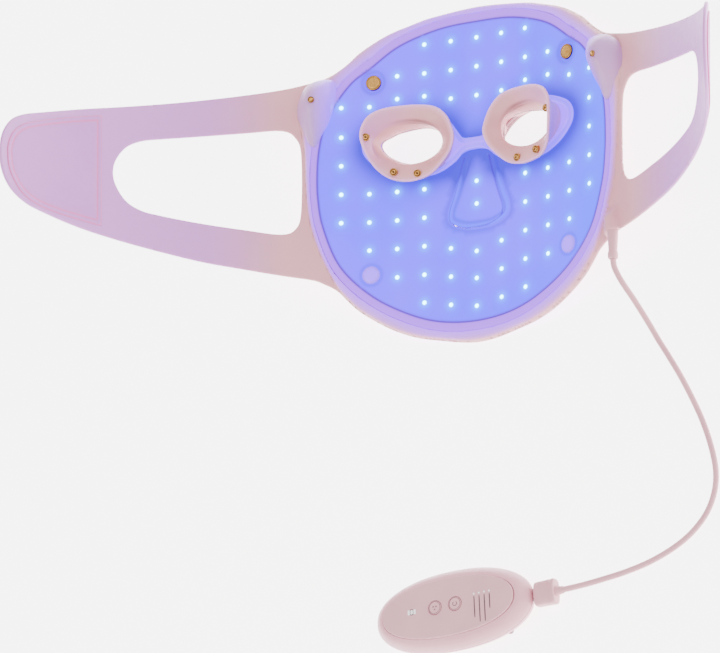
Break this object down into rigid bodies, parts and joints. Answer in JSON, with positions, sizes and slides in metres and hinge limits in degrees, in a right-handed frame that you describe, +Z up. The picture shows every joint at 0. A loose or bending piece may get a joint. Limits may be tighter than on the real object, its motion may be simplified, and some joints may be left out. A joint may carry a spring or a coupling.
{
  "type": "light therapy mask with eye massager",
  "caption": "Light-therapy face mask with eye massager cups, wrap-around straps and a wired hand remote, laid on its back with the face side up.",
  "frame": {"origin": "middle of the laid-out object's footprint, on the table", "axes": "+X across the face to the wearer's side with the cable, +Y towards the forehead, +Z up from the table, out of the mask's face side"},
  "size_m": [0.4578, 0.3842, 0.1569],
  "materials": {
    "cover_silicone": "satin",
    "strap_silicone": "satin",
    "glow_panel": "satin translucent",
    "border_silicone": "satin translucent",
    "temple_silicone": "satin translucent",
    "cup_silicone": "matte",
    "led": "glowing",
    "gold": "polished",
    "board": "matte",
    "remote_board": "satin",
    "cable_rubber": "satin",
    "remote_plastic": "matte",
    "face_film": "satin",
    "button_plastic": "satin",
    "lens": "gloss",
    "steel": "brushed",
    "battery_foil": "satin",
    "black_plastic": "matte",
    "hook_fabric": "looped"
  },
  "bodies": {
    "mask": {"outer_cover": "cover_silicone", "flex_board": "board", "led_chips": "led", "light_panel": "glow_panel", "forehead_electrode_left": "gold", "forehead_electrode_right": "gold", "cheek_pad_left": "border_silicone", "cheek_pad_right": "border_silicone", "temple_pad_left": "temple_silicone", "temple_pad_right": "temple_silicone", "temple_stud_left": "gold", "temple_stud_right": "gold", "cable_gland": "cable_rubber", "cable": "cable_rubber", "plug_relief": "cable_rubber", "plug_housing": "remote_plastic", "plug_shell": "steel"},
    "nose_flap": {"nose_flap_cover": "cover_silicone", "nose_flap_board": "board", "nose_flap_leds": "led", "nose_flap_panel": "glow_panel"},
    "eye_module": {"eye_frame": "border_silicone", "eye_cup_left": "cup_silicone", "eye_cup_right": "cup_silicone", "eye_frame_pins": "gold", "eye_contact_left_temple": "gold", "eye_contact_left_outer": "gold", "eye_contact_left_inner": "gold", "eye_contact_right_temple": "gold", "eye_contact_right_outer": "gold", "eye_contact_right_inner": "gold"},
    "strap_left": {"strap_left": "strap_silicone"},
    "strap_left_tip": {"strap_left_tip": "strap_silicone", "hook_pad": "hook_fabric"},
    "strap_right": {"strap_right": "strap_silicone"},
    "strap_right_tip": {"strap_right_tip": "strap_silicone", "loop_pad": "hook_fabric"},
    "remote": {"remote_lower_shell": "remote_plastic", "remote_upper_shell": "remote_plastic", "remote_face_panel": "face_film", "remote_socket": "steel", "remote_board": "remote_board", "battery_cell": "battery_foil", "switches": "black_plastic", "indicator_lenses": "lens", "battery_window": "lens", "case_screws": "steel"},
    "button_power": {"button_power": "button_plastic"},
    "button_mode": {"button_mode": "button_plastic"}
  },
  "joints": [
    {"name": "strap_left_wrap", "type": "hinge", "parent": "mask", "child": "strap_left", "pos_m": [-0.11205, 0.092, 0.02812], "axis": [0, 1, 0], "range_deg": [-25, 70], "stiffness_Nm_per_rad": 0.4, "springref_deg": 2.58},
    {"name": "strap_left_fold", "type": "hinge", "parent": "strap_left", "child": "strap_left_tip", "pos_m": [-0.1938, 0.092, 0.09612], "axis": [0, 1, 0], "range_deg": [-40, 40], "stiffness_Nm_per_rad": 0.2, "springref_deg": 0.69},
    {"name": "strap_right_wrap", "type": "hinge", "parent": "mask", "child": "strap_right", "pos_m": [0.11205, 0.092, 0.02812], "axis": [0, -1, 0], "range_deg": [-25, 70], "stiffness_Nm_per_rad": 0.4, "springref_deg": 2.58},
    {"name": "strap_right_fold", "type": "hinge", "parent": "strap_right", "child": "strap_right_tip", "pos_m": [0.1938, 0.092, 0.09612], "axis": [0, -1, 0], "range_deg": [-40, 40], "stiffness_Nm_per_rad": 0.2, "springref_deg": 0.69},
    {"name": "nose_flap_hinge", "type": "hinge", "parent": "mask", "child": "nose_flap", "pos_m": [0, 0.1006, 0.003], "axis": [1, 0, 0], "range_deg": [0, 25], "stiffness_Nm_per_rad": 0.02, "springref_deg": -11.46},
    {"name": "eye_module_lift", "type": "slide", "parent": "mask", "child": "eye_module", "axis": [0, 0, 1], "range_m": [0, 0.03]},
    {"name": "remote_unplug", "type": "slide", "parent": "mask", "child": "remote", "axis": [-0.9986, -0.0523, 0], "range_m": [0, 0.02]},
    {"name": "power_press", "type": "slide", "parent": "remote", "child": "button_power", "axis": [0, 0, -1], "range_m": [0, 0.0004], "stiffness_N_per_m": 400, "springref_m": -0.001},
    {"name": "mode_press", "type": "slide", "parent": "remote", "child": "button_mode", "axis": [0, 0, -1], "range_m": [0, 0.0004], "stiffness_N_per_m": 400, "springref_m": -0.001}
  ]
}
